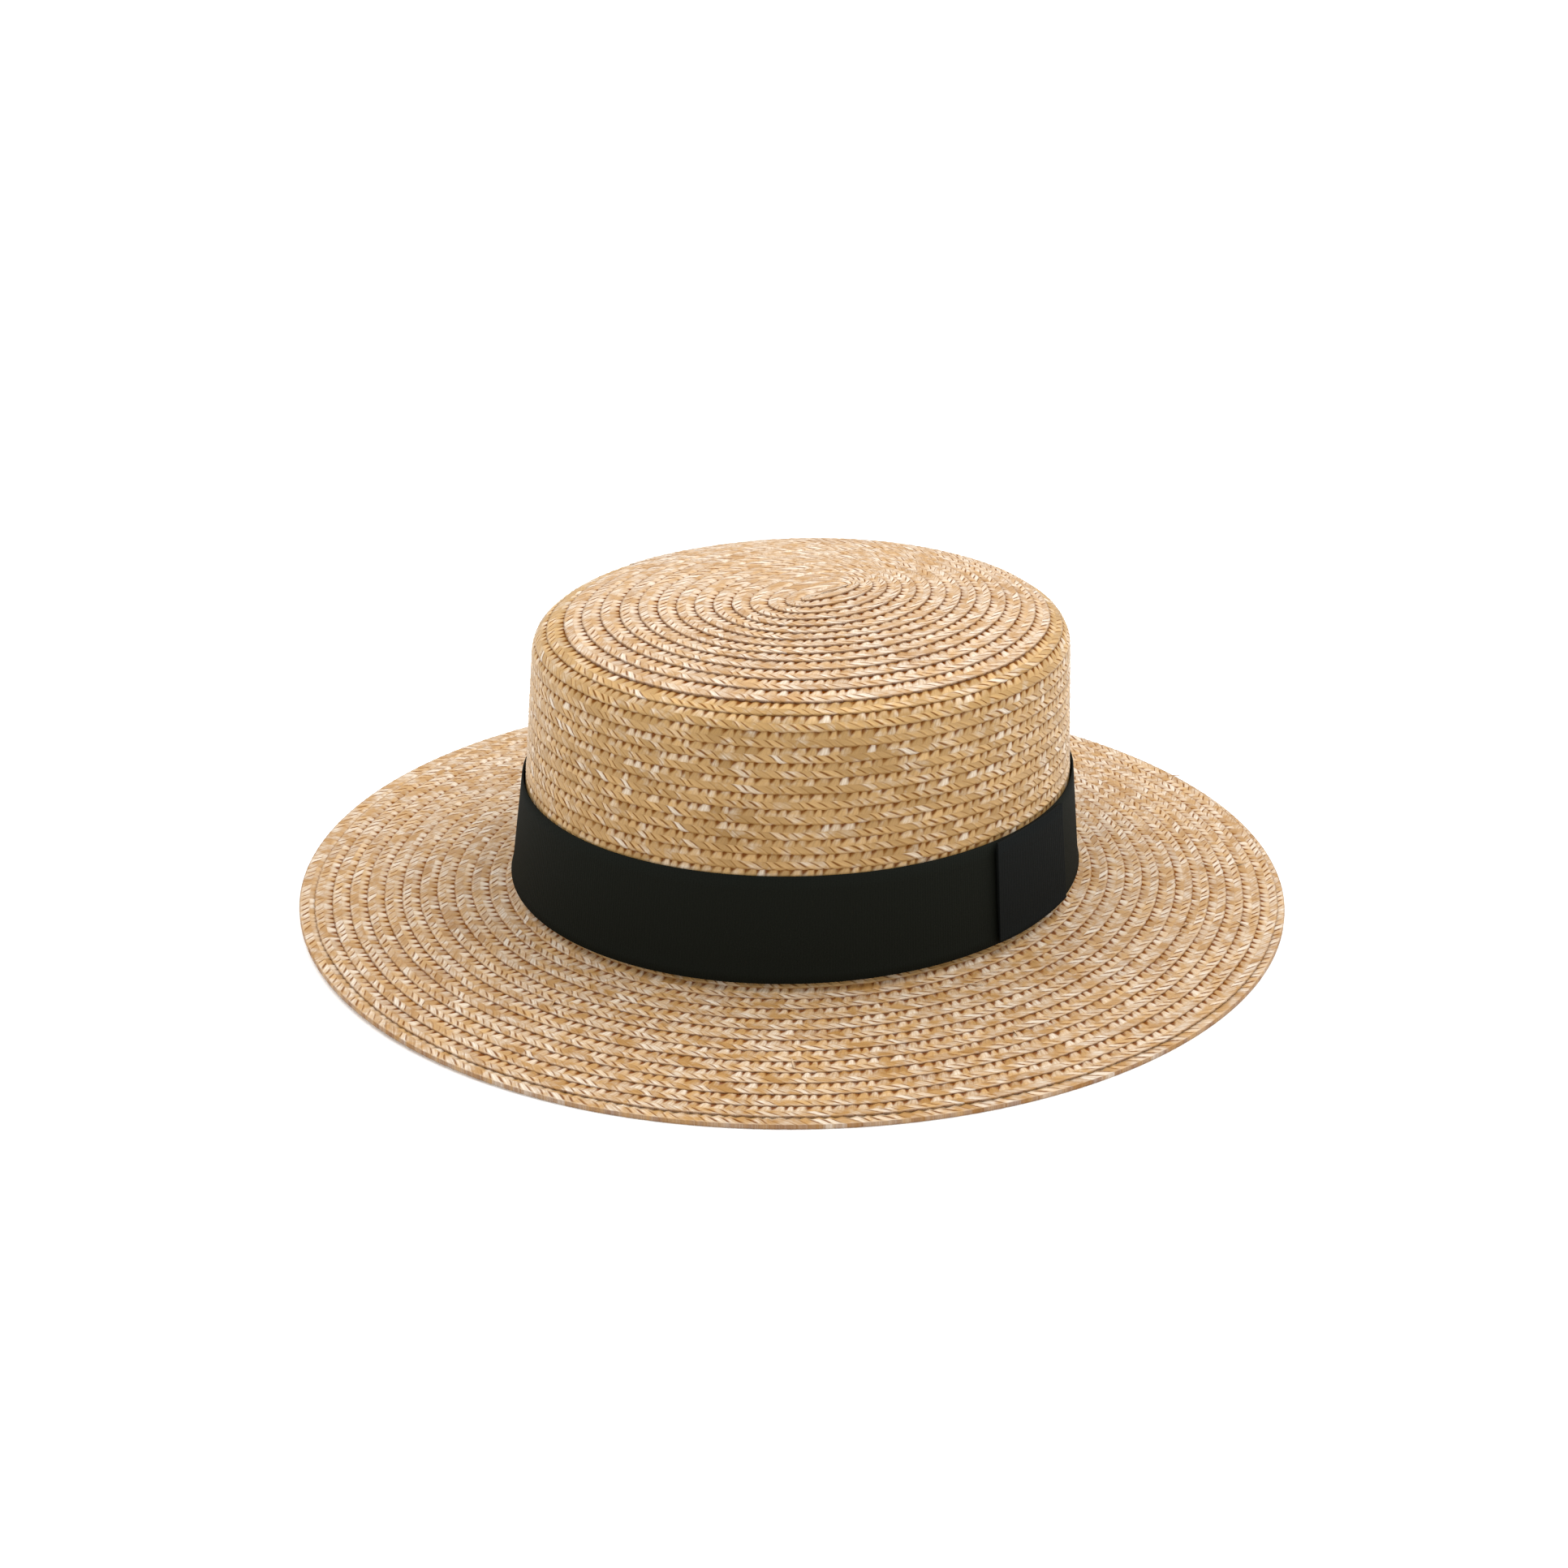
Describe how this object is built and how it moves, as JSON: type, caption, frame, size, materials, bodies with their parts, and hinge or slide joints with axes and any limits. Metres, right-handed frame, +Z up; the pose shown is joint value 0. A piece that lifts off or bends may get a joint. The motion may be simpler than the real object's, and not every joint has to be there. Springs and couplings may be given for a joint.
{
  "type": "straw boater hat",
  "caption": "Flat-topped oval straw hat sewn from rows of plaited braid, with a stiff brim and a black grosgrain ribbon and tab round the crown; worn on the head.",
  "frame": {"origin": "middle of the hat in plan, on the surface that the brim rests on", "axes": "+Z up through the tip, the wearer looks toward -Y along the oval's length, +X is the wearer's left"},
  "size_m": [0.3228, 0.3414, 0.1003],
  "materials": {
    "straw_braid": "matt plaited straw with a slight sheen",
    "grosgrain": "matt ribbed ribbon"
  },
  "bodies": {
    "root": {"crown": "straw_braid", "brim": "straw_braid", "ribbon_band": "grosgrain", "ribbon_tab": "grosgrain"}
  },
  "joints": []
}
